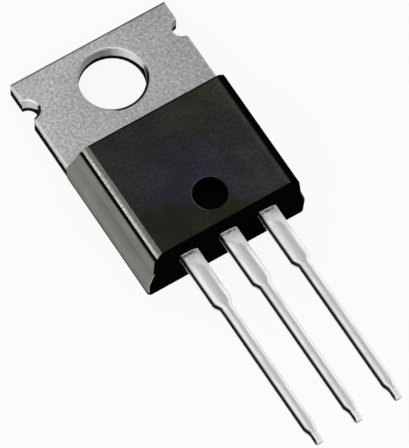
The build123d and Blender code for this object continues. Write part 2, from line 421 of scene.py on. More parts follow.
def dull_epoxy(name, tone):
    """Ends and recesses: rough from the mould, and black."""
    finish = Finish(name)
    grain = finish.noise(*GRAIN)
    colour = finish.shade(epoxy_colour(tone, 1.0), grain.ramp(0.30, 0.70, 0.55, 1.45))
    return epoxy_surface(finish, grain, colour, coat=0.0, gloss=0.0)


FRONT_EPOXY = cloudy_epoxy("moulding_front", tone=0.0175, sheen=0.10, gloss=0.10,
                           colours=(1.60, 1.22, 0.55))
# The sides, chamfers and corners get painted light on the left, set by height.
SIDE_EPOXY = painted_light_epoxy("moulding_side", tone=0.03, sheen=0.35, streaks=0.08,
                        painted_pale=(1.2, 2.6, 0.145, 0.115), ledge=LEDGE_SHADE_TO)
CHAMFER_EPOXY = painted_light_epoxy("moulding_chamfer", tone=0.010, sheen=0.6, streaks=0.35,
                           painted_pale=(4.06, 4.24, 0.52, 0.10))
CORNER_EPOXY = painted_light_epoxy("moulding_corner", tone=0.03, sheen=1.0, streaks=0.08,
                          painted_pale=(1.0, 2.0, 0.30, 0.30))
END_EPOXY = dull_epoxy("moulding_end", tone=0.002)
print("moulding compound in five finishes")

# %% [markdown]
# ## Blasted nickel
#
# The tab is copper with a thin coat of nickel, blasted with fine glass so that the
# epoxy holds on to it.  Thousands of tiny dents each catch the light in their own
# direction, so from a hand's distance it is an even grey that sparkles.  Noise at two
# scales makes the dents: it tints the metal a little, and a bump tilts the surface.
#
# The rounded rims are a little smoother than the blasted face.  They carry a painted
# highlight where they face the lead end and painted shade where they face right or back.
# Painted shade also lies on the lip of the left notch, along one side of the hole, and in
# a fine line before the free end.

# %% Blasted nickel
# Lengths are in millimetres.  The tones are shares of white.
NICKEL_TONE = 0.56
RIM_PAINTED_HIGHLIGHT = 0.90
RIM_PAINTED_SHADE = 0.42
# Painted shade: its tone, and where its rings lie by the hole and the left notch.
PAINTED_SHADE_TONE = 0.015
SHADE_PAST_HOLE = (0.14, 0.20)
SHADE_PAST_NOTCH = (0.12, 0.18)
SHADE_ABOVE = 0.6                 # painted shade stays off the back of the sheet
SHADED_SIDE = (0.44, -0.90)      # seen from the hole's axis
END_SHADE_LINE = (-0.17, -0.10)
END_SHADE_TONE = 0.34
END_RIM = 0.2
ACROSS_TONE = (-3.0, 5.0, 1.0, 0.845)


def rim_painted_light(finish, sideways, backward):
    """The rolled edge, with painted highlight and shade by the way it looks."""
    rim = finish.mix(backward.ramp(-0.30, -0.05), grey(RIM_PAINTED_HIGHLIGHT), grey(NICKEL_TONE))
    rim = finish.mix(sideways.ramp(0.0, 0.35) * (backward < 0.0), rim, grey(RIM_PAINTED_SHADE))
    shaded = backward.ramp(0.03, 0.15) * sideways.fade(0.05, 0.30)
    shaded = shaded * (finish.y < TAB_END_Y / MM - END_RIM)
    return finish.mix(shaded, rim, grey(PAINTED_SHADE_TONE))


def painted_shade_rings(finish):
    """1 in rings of painted shade on one side of the hole and of the left notch, else 0."""
    notch_x, notch_y = -TAB_HALF_WIDTH / MM, NOTCH_Y / MM
    hole, notch = finish.plan_distance(0, 0), finish.plan_distance(notch_x, notch_y)
    side = (finish.x * SHADED_SIDE[0] + finish.y * SHADED_SIDE[1]) / hole
    below = (notch_y - finish.y) / notch
    at_hole = (hole - HOLE_RADIUS / MM).fade(*SHADE_PAST_HOLE)
    at_notch = (notch - NOTCH_RADIUS / MM).fade(*SHADE_PAST_NOTCH)
    rings = at_hole * side.ramp(0.45, 0.75) + at_notch * below.ramp(0.0, 0.25)
    return rings * (finish.z > SHADE_ABOVE)


def blasted_nickel():
    finish = Finish("blasted_nickel")
    dents = finish.noise(5.5, 4.0, 0.75)
    fine = finish.noise(13.0, 2.0, 0.6)
    sparkle = dents.ramp(0.32, 0.68, 0.70, 1.30) * fine.ramp(0.3, 0.7, 0.9, 1.1)
    # Darker towards the right, with a little random tone.
    tone_across = finish.x.ramp(*ACROSS_TONE) * finish.noise(0.5, 2.0).ramp(0.3, 0.7, 0.96, 1.04)
    sideways, backward, upward = finish.parts(finish.looks())
    flat = abs(upward).ramp(0.90, 0.99)
    blasted = finish.shade(grey(NICKEL_TONE, 0.005), sparkle * tone_across)
    colour = finish.mix(flat, rim_painted_light(finish, sideways, backward), blasted)
    # Painted shade: a fine dark line just before the free end.
    end_shade = (finish.y - TAB_END_Y / MM).ramp(*END_SHADE_LINE, 1.0, END_SHADE_TONE)
    colour = finish.shade(colour, end_shade)
    return finish.surface(
        # Painted shade in rings by the hole and the left notch.
        Base_Color=finish.mix(painted_shade_rings(finish), colour, grey(PAINTED_SHADE_TONE)),
        Metallic=1.0,
        Roughness=fine.ramp(0.3, 0.7, 0.42, 0.58) - (1 - flat) * 0.15,
        Normal=finish.relief(dents * flat, 0.010 * MM))


NICKEL = blasted_nickel()
print("blasted nickel")

# %% [markdown]
# ## The cut edge
#
# A punch goes through copper strip in two stages.  The first part of the edge is
# burnished by the side of the punch, and then the rest tears, and is rough and dark
# once it has tarnished.  The finish follows the height on the piece, with a ragged line
# between the two parts.
#
# On the left the dark tear of the tab runs deeper, and in the hole it swings round with
# the wall: that extra depth is painted shade.  The burnished part gets painted light by
# the way it looks.  The leads are punched from the other face: their burnished lip is
# underneath.

# %% Sheared edges
TORN_TONE = 0.010
DEEPEST_DARK = 0.84
TEAR_RAGGED = 0.15
TEAR_SOFTNESS = 0.04
OUTER_LEFT = (3.6, 4.4)             # mm left of the middle, where the edge gets painted light of its own


def sheared_edge(name, back, front, torn_share, shade_free_side=None, polish=(0.75, 0.75), outer_left_tone=0.75):
    """back and front are the heights of the faces where the tear and the polish start.

    The tear takes up torn_share of the thickness.  Where the edge looks to the left, painted
    shade runs it deeper, the more the edge turns from the side given as free of shade.
    polish is the painted light of the burnished part where it looks right and left, and the
    outer left edge gets painted light of its own.
    """
    finish = Finish(name)
    ragged = finish.noise(1.0, 3.0, 0.6, place=finish.stretched(3.0, 3.0, 0.4))
    drag = finish.noise(1.0, 3.0, 0.7, place=finish.stretched(11.0, 11.0, 0.6))
    leftward = finish.parts(finish.looks())[0] * -1.0
    share = (finish.z - back / MM) / ((front - back) / MM) + (ragged - 0.5) * TEAR_RAGGED
    tear = torn_share
    # Painted shade: the tear runs deeper on left-facing walls that turn from the given side.
    if shade_free_side:
        line = finish.add("ShaderNodeVectorMath", {"operation": "DOT_PRODUCT"},
                          {0: finish.looks(), 1: (*shade_free_side, 0)}, output="Value")
        left = leftward.ramp(-0.2, 0.2)
        # 1.001 and not 1, so that the divisor never gets to zero.
        tear = (torn_share / (abs(line) * left + 1.001 - left)).at_most(DEEPEST_DARK)
    burnished = (share - tear).ramp(-TEAR_SOFTNESS, TEAR_SOFTNESS)
    # Painted light on the burnished part: by the way it looks, and its own tone on the outer left
    # edge.
    outer_left = (finish.x * -1.0).ramp(*OUTER_LEFT)
    tone = leftward.ramp(0.25, 1.0, *polish) * (1 - outer_left) + outer_left * outer_left_tone
    colour = finish.mix(burnished, grey(TORN_TONE, 0.10), finish.shade(grey(1.0, 0.01), tone))
    return finish.surface(
        Base_Color=finish.shade(colour, drag.ramp(0.3, 0.7, 0.85, 1.15)),
        Metallic=burnished,
        Roughness=burnished * -0.25 + 0.65,
        Specular_IOR_Level=0.0,
        Normal=finish.relief(drag, 0.006 * MM))


TAB_EDGE = sheared_edge("sheared_tab_edge", 0.0, TAB_THICKNESS, torn_share=0.31,
                        shade_free_side=(-0.53, -0.85), polish=(0.16, 0.66), outer_left_tone=0.52)
LEAD_EDGE = sheared_edge("sheared_lead_edge", LEAD_TOP, LEAD_UNDERSIDE, torn_share=0.50)
print("sheared edges")

# %% [markdown]
# ## Bright tin
#
# The leads are dipped or plated in tin after the moulding is trimmed.  Fresh tin is
# almost white and reflects like a soft mirror.  It dulls in long smears where the leads
# rub in their tube, so the smears run along the lead: the noise is stretched along Y.
#
# The tin isn't even.  It stands as a pale bead on the right corner and as a drop on the
# point, and is missing where the point was cut off; the sharp left corner gets painted
# shade.  Next to the body the resin that bled out of the mould leaves a pale collar, a dark
# groove where the collar ends, and a dull film that fades along the lead.

# %% Bright tin
# Lengths are in millimetres: along the lead from the body, across it from its middle.
GROOVE_START = 0.05
GROOVE_SOFTNESS = 0.03
GROOVE_END = (0.15, 0.26)
GROOVE_HALF = (0.34, 0.50)
GROOVE_OFFSET = 0.05
EXIT_WANDER = 0.22
STAIN_END = (0.2, 0.7)
FILM_END = (0.50, 0.80)
FILM_SIDE_REACH = 2.6               # how much further it goes where the tin looks right
LEFT_EDGE_SHADE = (-0.26, 0.0)
BEAD = (0.54, 0.62)
DROP_END = (0.50, 0.75)
CUT_END = (0.02, 0.10)
CUT_HEIGHT = (0.20, 0.34)
TONES = {"fresh": (0.96,), "dull": (0.86, -0.01), "stain": (0.68, -0.01), "collar": (0.80,),
         "groove": (0.20,), "left_shade": (0.02,), "bead": (0.97,), "cut": (0.05,)}


def resin_marks(finish, past_body, across):
    """What the resin leaves next to the body: masks of the stain, collar and groove."""
    start = (GROOVE_START - GROOVE_SOFTNESS, GROOVE_START + GROOVE_SOFTNESS)
    groove = past_body.ramp(*start) * past_body.fade(*GROOVE_END)
    groove = groove * abs(across + GROOVE_OFFSET).fade(*GROOVE_HALF)
    groove = groove * finish.noise(3.4, 2.0).ramp(0.36, 0.56, 0.30, 1.0)
    stain = past_body.fade(*STAIN_END) * finish.noise(3.0, 3.0, 0.7).ramp(0.42, 0.60)
    return stain, past_body.fade(*start), groove


def cut_point(finish, from_tip, across):
    """Mask of the lower part of the cut end, strongest on the left."""
    low = (finish.z - LEAD_UNDERSIDE / MM).fade(*CUT_HEIGHT)
    return from_tip.fade(*CUT_END) * low * across.ramp(-0.15, 0.25, 1.0, 0.35)


def bright_tin():
    finish = Finish("bright_tin")
    smears = finish.noise(1.0, 3.0, 0.55, place=finish.stretched(2.6, 0.7, 2.6))
    ripples = finish.noise(2.2, 2.0, 0.5)
    scratches = finish.noise(1.0, 2.0, 0.7, place=finish.stretched(22.0, 0.9, 22.0))
    dull = smears.ramp(0.42, 0.62)
    half_pitch = LEAD_PITCH / MM / 2
    across = finish.add("ShaderNodeMath", {"operation": "WRAP"},
                        {0: finish.x, 1: half_pitch, 2: -half_pitch})
    wander = (finish.noise(2.8, 3.0, 0.6) - 0.5) * EXIT_WANDER
    past_body = EXIT_Y / MM - finish.y + wander
    from_tip = finish.y - TIP_Y / MM
    sideways = finish.parts(finish.looks())[0]
    filmed = (past_body - sideways * FILM_SIDE_REACH).fade(*FILM_END)
    # Painted shade on the left corner of each lead.
    left_shade = sideways.fade(*LEFT_EDGE_SHADE)
    bead = sideways.ramp(*BEAD).at_least(from_tip.fade(*DROP_END) * (1 - left_shade))
    stain, collar, groove = resin_marks(finish, past_body, across)
    cut = cut_point(finish, from_tip, across)
    colour = grey(*TONES["fresh"])
    for name, mask in (("dull", dull), ("stain", stain), ("collar", collar), ("groove", groove),
                       ("left_shade", left_shade), ("bead", bead), ("cut", cut)):
        colour = finish.mix(mask, colour, grey(*TONES[name]))
    return finish.surface(
        Base_Color=colour,
        Metallic=(1 - filmed * 0.85) * (1 - bead),
        Roughness=dull * 0.10 + 0.16 + scratches * 0.06 + filmed * 0.35,
        Specular_IOR_Level=0.2,
        Normal=finish.relief(ripples * 0.9 + scratches * 0.1, 0.004 * MM))


TIN = bright_tin()
print("bright tin")

# %% [markdown]
# ## Meshes from rings
#
# The block and the plate are both stacks of outlines: one outline at each height, and
# skin between them.  A helper joins rings of the same length with quads, and notes
# which faces belong to which pair of rings, so that each level gets its own finish.

# %% Helpers for ring stacks
def quarter_round(radius, steps):
    """Points round a corner, each as its distance from the two lines that meet there."""
    angles = [math.radians(90 * i / steps) for i in range(steps + 1)]
    return [(radius * (1 - math.cos(angle)), radius * (1 - math.sin(angle))) for angle in angles]


def add_rings(mesh, rings):
    """Puts the rings' points in a bmesh and returns them as lists of vertices."""
    return [[mesh.verts.new(point) for point in ring] for ring in rings]


def skin(mesh, below, above, slot=0):
    """Quads between two rings of vertices."""
    count = len(below)
    for i in range(count):
        j = (i + 1) % count
        face = mesh.faces.new((below[i], below[j], above[j], above[i]))
        face.material_index = slot


def add_stack(mesh, outlines):
    """A closed solid: walls from each outline to the next, and a face at each end."""
    rings = add_rings(mesh, outlines)
    for below, above in zip(rings, rings[1:]):
        skin(mesh, below, above)
    mesh.faces.new(list(reversed(rings[0])))
    mesh.faces.new(rings[-1])


def in_scene(name, data):
    """An object that shows a mesh, a lamp or a camera."""
    thing = bpy.data.objects.new(name, data)
    bpy.context.scene.collection.objects.link(thing)
    return thing


def new_piece(name, mesh, materials):
    """A piece from a bmesh, with faces pointing outwards."""
    bmesh.ops.recalc_face_normals(mesh, faces=mesh.faces[:])
    data = bpy.data.meshes.new(name)
    mesh.to_mesh(data)
    mesh.free()
    for material in materials:
        data.materials.append(material)
    return in_scene(name, data)


def bake_modifiers(piece):
    """Swaps the piece's mesh for what its modifiers make of it, and removes them."""
    bpy.context.view_layer.update()
    evaluated = piece.evaluated_get(bpy.context.evaluated_depsgraph_get())
    data = bpy.data.meshes.new_from_object(evaluated)
    piece.modifiers.clear()
    piece.data = data
    return piece


def report(piece):
    """Prints what a lesson would ask of any mesh: its size, and whether it is closed."""
    mesh = bmesh.new()
    mesh.from_mesh(piece.data)
    open_edges = sum(1 for edge in mesh.edges if not edge.is_manifold)
    volume = mesh.calc_volume() / MM ** 3
    print("%s: %d faces, %d open edges, %.3f mm3" % (
        piece.name, len(mesh.faces), open_edges, volume))
    mesh.free()


def combine(piece, other, operation, keep=True):
    """Joins other to piece, or cuts it out of piece; keep says whether other stays.

    The solver works to fixed tolerances, so both meshes are in millimetres meanwhile.
    """
    for each in (piece, other):
        each.data.transform(Matrix.Scale(1 / MM, 4))
    modifier = piece.modifiers.new(operation.lower(), "BOOLEAN")
    modifier.operation = operation
    modifier.solver = "EXACT"
    modifier.material_mode = "TRANSFER"
    modifier.object = other
    bake_modifiers(piece)
    for each in (piece, other):
        each.data.transform(Matrix.Scale(MM, 4))
    if not keep:
        bpy.data.objects.remove(other)
    report(piece)


def soften(piece, degrees=30.0):
    """Smooth shading that still breaks at real edges."""
    piece.data.shade_smooth()
    piece.data.set_sharp_from_angle(angle=math.radians(degrees))
    return piece


print("mesh helpers ready")

# %% [markdown]
# ## The flat leads
#
# All three leads are the same strip: it follows a path, keeps its thickness, and only
# its width changes along the way, from bond post to shoulder to slim leg to chisel tip.
# That is a rule, so one Geometry Nodes tree makes all three.  The path is a chain of
# points, and each point carries the strip's half width and how much the chisel squeezes
# it there.  Curve to Mesh sweeps a rounded rectangle along the chain.  Then Set Position
# moves each side out to the half width, squeezes the tip, and crowns the faces a
# little, as rolling leaves them.
#
# The upper face isn't flat.  The punch drags it down towards the right edge, so it slopes
# from a little left of the middle and rolls over at the edge.  The roll-over is taken as
# a share of the width, so that the slim leg gets it as well as the shoulder.

# %% A Geometry Nodes tree that presses a strip to shape
NOMINAL_HALF = 0.50 * MM
STRIP_EDGE_RADIUS = 0.08 * MM
WIDE_SEGMENT = 2.0
WIDE_CUTS = 7.0
WIDEST_SLOPED = 1.2         # the slope stops growing at this share of the nominal width
SLOPE_START = -0.25         # shares of the half width, from the middle to the right
ROLL_START = 0.35
LEFT_EDGE_FROM = 0.60       # how far an edge face has to look sideways
RIGHT_EDGE_FROM = 0.50
LEVEL = 0.02


def strip_inputs(interface):
    """Named inputs, so that the sizes of a strip can be read on its modifier.

    Each has either a number to start from or the kind of thing that goes in.
    """
    for name, kind in (("Path", "Geometry"), ("Thickness", LEAD_THICKNESS),
                       ("Edge Radius", STRIP_EDGE_RADIUS), ("Crown", 0.0), ("Slope", 0.0),
                       ("Roll-over", 0.0), ("Middle Height", LEAD_MIDDLE), ("Shift X", 0.0),
                       ("Face Finish", "Material"), ("Edge Finish", "Material")):
        number = isinstance(kind, float)
        socket = interface.new_socket(name=name, in_out="INPUT",
                                      socket_type="NodeSocket" + ("Float" if number else kind))
        if number:
            socket.default_value = kind
    interface.new_socket(name="Strip", in_out="OUTPUT", socket_type="NodeSocketGeometry")


def strip_section(tree, given):
    """Rounded rectangle of nominal width, with extra points on its two wide sides.

    The fillets leave three points to a corner, so every sixth segment is a wide side.
    """
    section = tree.add("GeometryNodeCurvePrimitiveQuadrilateral", inputs={
        "Width": 2 * NOMINAL_HALF, "Height": given("Thickness")})
    section = tree.add("GeometryNodeFilletCurve", {"mode": "POLY"}, {
        "Curve": section, "Radius": given("Edge Radius"), "Count": 2})
    place = tree.add("GeometryNodeInputIndex")
    turn = tree.add("ShaderNodeMath", {"operation": "MODULO"}, {0: place, 1: 6.0})
    wide = tree.add("ShaderNodeMath", {"operation": "COMPARE"}, {0: turn, 1: WIDE_SEGMENT, 2: 0.5})
    section = tree.add("GeometryNodeSubdivideCurve", inputs={
        "Curve": section, "Cuts": wide * WIDE_CUTS})
    depth = tree.parts(tree.add("GeometryNodeInputPosition"))[1]
    return tree.add("GeometryNodeStoreNamedAttribute", {"data_type": "FLOAT", "domain": "POINT"}, {
        "Geometry": section, "Name": "upper", "Value": depth.sign() * -1.0})


def pressed_position(tree, given):
    """Where a point of the plain sweep goes once the strip is pressed to width."""
    half, squeeze, upper = (
        tree.add("GeometryNodeInputNamedAttribute", {"data_type": "FLOAT"}, {"Name": name})
        for name in ("half_width", "squeeze", "upper"))
    x, y, z = tree.parts(tree.add("GeometryNodeInputPosition"))
    wide = x + x.sign() * (half - NOMINAL_HALF)
    across = wide / half
    height = z - given("Middle Height")
    crowned = height - upper * given("Crown") * across * across
    sloped, rolled = ((across - start).at_least(0.0) for start in (SLOPE_START, ROLL_START))
    breadth = (half / NOMINAL_HALF).at_most(WIDEST_SLOPED)
    drop = given("Slope") * breadth * breadth * sloped + given("Roll-over") * rolled * rolled
    crowned = crowned - (upper > 0.0) * drop
    pressed = given("Middle Height") + crowned * squeeze
    return tree.add("ShaderNodeCombineXYZ", inputs={0: wide + given("Shift X"), 1: y, 2: pressed})


def strip_tree():
    group = bpy.data.node_groups.new("pressed_strip", "GeometryNodeTree")
    strip_inputs(group.interface)
    tree = Tree(group)
    entrance = group.nodes.new("NodeGroupInput")

    def given(name):
        return Wire(tree, entrance.outputs[name])

    line = tree.add("GeometryNodeMeshToCurve", inputs={"Mesh": given("Path")})
    line = tree.add("GeometryNodeSetCurveNormal", {"mode": "Z_UP"}, {"Curve": line})
    strip = tree.add("GeometryNodeCurveToMesh", inputs={
        "Curve": line, "Profile Curve": strip_section(tree, given), "Fill Caps": True})
    strip = tree.add("GeometryNodeSetPosition", inputs={
        "Geometry": strip, "Position": pressed_position(tree, given)})
    strip = tree.add("GeometryNodeRealizeInstances", inputs={"Geometry": strip})
    sideways, _, upward = tree.parts(tree.add("GeometryNodeInputNormal"))
    on_edge = (sideways < -LEFT_EDGE_FROM) + (sideways > RIGHT_EDGE_FROM) * (abs(upward) < LEVEL)
    strip = tree.add("GeometryNodeSetMaterial", inputs={
        "Geometry": strip, "Material": given("Face Finish")})
    strip = tree.add("GeometryNodeSetMaterial", inputs={
        "Geometry": strip, "Material": given("Edge Finish"), "Selection": on_edge})
    tree.add("NodeGroupOutput", inputs={"Strip": strip})
    return group


STRIP = strip_tree()
print("pressed_strip:", len(STRIP.nodes), "nodes")

# %% [markdown]
# ## Paths for the three leads
#
# A station is a place along the lead with a half width.  The straight leg is the same
# for all three: a wide shoulder that stops the board from pushing the part up, a short
# taper, the slim leg that goes through the board, and a narrow chisel tip that finds
# its hole.  An outer lead then ends in a wide post with round corners, inside the body,
# where its bond wire lands.  The centre lead climbs instead from the pad of the tab.

# %% Stations along the leads
SHOULDER_HALF = 0.60 * MM
SLIM_HALF = 0.38 * MM
TIP_HALF = 0.24 * MM
POST_HALF = 1.00 * MM
POST_LENGTH = 1.90 * MM
POST_CORNER = 0.25 * MM
JOGGLE_HALF = 0.90 * MM
SHOULDER_END_Y = EXIT_Y - 3.50 * MM
TAPER = 0.38 * MM
TIP_START_Y = TIP_Y + 1.07 * MM
CHISEL = 0.12 * MM
TIP_EDGE = 0.03 * MM
TIP_EDGE_SWELL = 0.12
POST_ROOT_Y = EXIT_Y + 0.50 * MM
POST_GAP = 0.001 * MM               # keeps two stations apart where the width jumps
CORNER_STEPS = 6
SLIM_STEPS = 8
SHOULDER_STEPS = 3


def leg_stations():
    """(y, half width, squeeze) from the tip up to the end of the shoulder."""
    chisel_squeeze = 1 - 2 * CHISEL / LEAD_THICKNESS
    stations = [
        (TIP_Y, TIP_HALF - TIP_EDGE, chisel_squeeze),
        (TIP_Y + TIP_EDGE, TIP_HALF, chisel_squeeze + TIP_EDGE_SWELL),
        (TIP_Y + CHISEL, TIP_HALF, 1.0),
        (TIP_START_Y - TAPER, TIP_HALF, 1.0),
        (TIP_START_Y, SLIM_HALF, 1.0)]
    slim_top = SHOULDER_END_Y - TAPER
    for i in range(1, SLIM_STEPS):
        y = TIP_START_Y + (slim_top - TIP_START_Y) * i / SLIM_STEPS
        stations.append((y, SLIM_HALF, 1.0))
    stations += [(slim_top, SLIM_HALF, 1.0), (SHOULDER_END_Y, SHOULDER_HALF, 1.0)]
    for i in range(1, SHOULDER_STEPS + 1):
        y = SHOULDER_END_Y + (EXIT_Y - SHOULDER_END_Y) * i / SHOULDER_STEPS
        stations.append((y, SHOULDER_HALF, 1.0))
    return stations


def post_stations():
    """(y, half width, squeeze) of a bond post with rounded corners."""
    corner = quarter_round(POST_CORNER, CORNER_STEPS)
    post_end = POST_ROOT_Y + POST_LENGTH
    stations = [(POST_ROOT_Y - POST_GAP, SHOULDER_HALF, 1.0)]
    stations += [(POST_ROOT_Y + step, POST_HALF - cut, 1.0) for step, cut in corner]
    stations += [(post_end - step, POST_HALF - cut, 1.0) for step, cut in reversed(corner)]
    return stations


def bend(before, corner, after, radius, steps=6):
    """Points of the arc that rounds a corner of a path in the YZ plane."""
    one = (before - corner).normalized()
    two = (after - corner).normalized()
    half_angle = one.angle(two) / 2
    reach = radius / math.tan(half_angle)
    centre = corner + (one + two).normalized() * (radius / math.sin(half_angle))
    start, end = corner + one * reach - centre, corner + two * reach - centre
    turn = start.angle(end)
    points = []
    for i in range(steps + 1):
        share = i / steps
        a = math.sin((1 - share) * turn) / math.sin(turn)
        b = math.sin(share * turn) / math.sin(turn)
        points.append(centre + start * a + end * b)
    return points


print("leg has", len(leg_stations()), "stations, a post", len(post_stations()))

# %% [markdown]
# ## Press the leads
#
# Each path becomes a bare chain of edges that carries its widths as attributes, and the
# tree turns the chain into metal.  The result is kept as a plain mesh, because a plain
# mesh can be joined, cut and exported.  The centre lead comes up from the pad in two
# bends.  Its path has real arcs there, because a sharp corner would pinch the strip.

# %% Press the three leads
PAD_END_Y = -10.35 * MM
JOGGLE_OVERLAP = 0.60 * MM
JOGGLE_SUNK = 0.03 * MM
BEND_RADIUS = 0.45 * MM
FIRST_BEND = 0.6                    # share of the radius from the pad to the first bend
CROWN = 0.008 * MM
SLOPE = 0.045 * MM
ROLL_OVER = 0.20 * MM


def straight_path(stations):
    return [(Vector((0, y, LEAD_MIDDLE)), half, squeeze) for y, half, squeeze in stations]


def joggle_path():
    """Rise from the pad to the height of the leads, with two bends."""
    low = TAB_THICKNESS - LEAD_THICKNESS / 2 - JOGGLE_SUNK
    foot = Vector((0, PAD_END_Y + JOGGLE_OVERLAP, low))
    first = Vector((0, PAD_END_Y - BEND_RADIUS * FIRST_BEND, low))
    second = Vector((0, POST_ROOT_Y, LEAD_MIDDLE))
    leg = Vector((0, EXIT_Y, LEAD_MIDDLE))
    points = bend(leg, second, first, BEND_RADIUS) + bend(second, first, foot, BEND_RADIUS) + [foot]
    path = []
    for i, point in enumerate(points):
        widening = min(1.0, (point.y - points[0].y) / (BEND_RADIUS / 2))
        path.append((point, SHOULDER_HALF + (JOGGLE_HALF - SHOULDER_HALF) * widening, 1.0))
    return path


def press_strip(name, path, shift):
    """Runs the tree on one path and returns a plain mesh object."""
    data = bpy.data.meshes.new(name)
    links = [(i, i + 1) for i in range(len(path) - 1)]
    data.from_pydata([point for point, _, _ in path], links, [])
    for attribute, column in (("half_width", 1), ("squeeze", 2)):
        values = data.attributes.new(attribute, "FLOAT", "POINT")
        values.data.foreach_set("value", [station[column] for station in path])
    piece = in_scene(name, data)
    modifier = piece.modifiers.new("press", "NODES")
    modifier.node_group = STRIP
    sockets = {item.name: item.identifier for item in STRIP.interface.items_tree
               if item.in_out == "INPUT"}
    for socket, value in (
            ("Shift X", shift), ("Crown", CROWN), ("Slope", SLOPE), ("Roll-over", ROLL_OVER),
            ("Face Finish", TIN), ("Edge Finish", LEAD_EDGE)):
        modifier[sockets[socket]] = value
    return soften(bake_modifiers(piece))


outer_path = straight_path(leg_stations() + post_stations())
input_lead = press_strip("input_lead_tinned", outer_path, -LEAD_PITCH)
output_lead = press_strip("output_lead_tinned", outer_path, LEAD_PITCH)
centre_lead = press_strip("centre_lead_strip", straight_path(leg_stations()) + joggle_path(), 0.0)
for lead in (input_lead, output_lead, centre_lead):
    report(lead)

# %% [markdown]
# ## The tab
#
# The tab and the pad under the chip are one flat blank.  Its outline is straight but
# for two round notches, and the lower lip of each notch is worn round.  Punching pulls
# the front edge of the sheet down a little, all the way round the outline and the hole.
# That soft edge is what catches the light, so it is modelled: the outline is repeated
# in four steps, each a little lower and further out.

# %% Outline of the blank
LIP_RADIUS = 0.18 * MM
PAD_HALF = TAB_HALF_WIDTH - 0.60 * MM
PAD_SHOULDER_Y = BODY_TOP_Y - 0.45 * MM
DIE_ROLL = 0.10 * MM
HOLE_POINTS = 96
LIP_STEPS = 6
NOTCH_STEPS = 20


def arc(centre, radius, start, end, steps):
    """Points on an arc; the angles are in degrees."""
    points = []
    for i in range(steps + 1):
        angle = math.radians(start + (end - start) * i / steps)
        points.append(Vector((centre[0] + radius * math.cos(angle),
                              centre[1] + radius * math.sin(angle))))
    return points


def blank_outline():
    """Outline of tab and pad, anticlockwise, as 2-D points."""
    lip_x = TAB_HALF_WIDTH - LIP_RADIUS
    reach = NOTCH_RADIUS + LIP_RADIUS
    lip_y = NOTCH_Y - math.sqrt(reach ** 2 - LIP_RADIUS ** 2)
    meeting = math.degrees(math.atan2(NOTCH_Y - lip_y, LIP_RADIUS))
    half = [Vector((PAD_HALF, PAD_END_Y)), Vector((PAD_HALF, PAD_SHOULDER_Y)),
            Vector((TAB_HALF_WIDTH, PAD_SHOULDER_Y))]
    half += arc((lip_x, lip_y), LIP_RADIUS, 0, meeting, LIP_STEPS)
    half += arc((TAB_HALF_WIDTH, NOTCH_Y), NOTCH_RADIUS, 180 + meeting, 90, NOTCH_STEPS)[1:]
    half.append(Vector((TAB_HALF_WIDTH, TAB_END_Y)))
    return half + [Vector((-point.x, point.y)) for point in reversed(half)]


def inset(outline, distance):
    """The outline moved inwards, with mitred corners.  It runs anticlockwise."""
    moved = []
    for i, point in enumerate(outline):
        back = (point - outline[i - 1]).normalized()
        ahead = (outline[(i + 1) % len(outline)] - point).normalized()
        inward = Vector((-(back + ahead).y, (back + ahead).x)).normalized()
        cosine = inward.dot(Vector((-back.y, back.x)))
        moved.append(point + inward * (distance / cosine))
    return moved


def raised(outline, height):
    return [Vector((point.x, point.y, height)) for point in outline]


print("blank outline:", len(blank_outline()), "points")

# %% [markdown]
# ## Punch the plate
#
# Extruding a flat face would make the plate in one step, but with square edges, and a
# bevel would treat front and back alike.  A stack of rings follows what the tools do: a
# corner at the back where the burr was taken off, an upright cut, and the roll in front.

# %% Punch the plate
ROLL_STEPS = 4
BURR_TAKEN_OFF = 0.02 * MM


def punched_wall(mesh, outline, direction):
    """Wall of the plate along one outline.  direction is 1 outside and -1 in the hole."""
    levels = [(BURR_TAKEN_OFF, 0.0), (0.0, BURR_TAKEN_OFF)]
    levels += [(step, TAB_THICKNESS - drop) for step, drop in quarter_round(DIE_ROLL, ROLL_STEPS)]
    rings = add_rings(mesh, [raised(inset(outline, direction * step), height)
                             for step, height in levels])
    for number, (below, above) in enumerate(zip(rings, rings[1:])):
        skin(mesh, below, above, slot=1 if number < 2 else 0)
    return rings[0], rings[-1]


def edges_round(mesh, ring):
    return [mesh.edges.get((ring[i - 1], ring[i])) for i in range(len(ring))]


def punched_plate(name):
    mesh = bmesh.new()
    outer_back, outer_front = punched_wall(mesh, blank_outline(), 1)
    circle = arc((0, 0), HOLE_RADIUS, 0, 360, HOLE_POINTS)[:-1]
    hole_back, hole_front = punched_wall(mesh, circle, -1)
    for outer, hole in ((outer_back, hole_back), (outer_front, hole_front)):
        edges = edges_round(mesh, outer) + edges_round(mesh, hole)
        bmesh.ops.triangle_fill(mesh, use_beauty=True, edges=edges)
    return new_piece(name, mesh, [NICKEL, TAB_EDGE])


tab = punched_plate("tab_blasted_nickel")
report(tab)
combine(tab, centre_lead, "UNION", keep=False)
soften(tab)

# %% [markdown]
# ## The moulded body
#
# The block is a stack of rounded rectangles, one for each height where its shape
# changes: the back, the widest line level with the face of the tab, the parting line at
# the leads, and the front face.  The tab end leans back and the lead end is nearly
# upright.  The ledge along each side, its riser and the chamfer above run the whole
# length, so one long prism on each side cuts them.  A small bevel breaks the edges, a
# cutter with a soft lip sinks the round mark of the ejector pin, and the metal pieces
# are cut out so that the block fits round them.

# %% Sections of the body
EDGE_DROP = 0.05 * MM
EDGE_SETBACK = 0.07 * MM
PARTING_STEP = 0.01 * MM


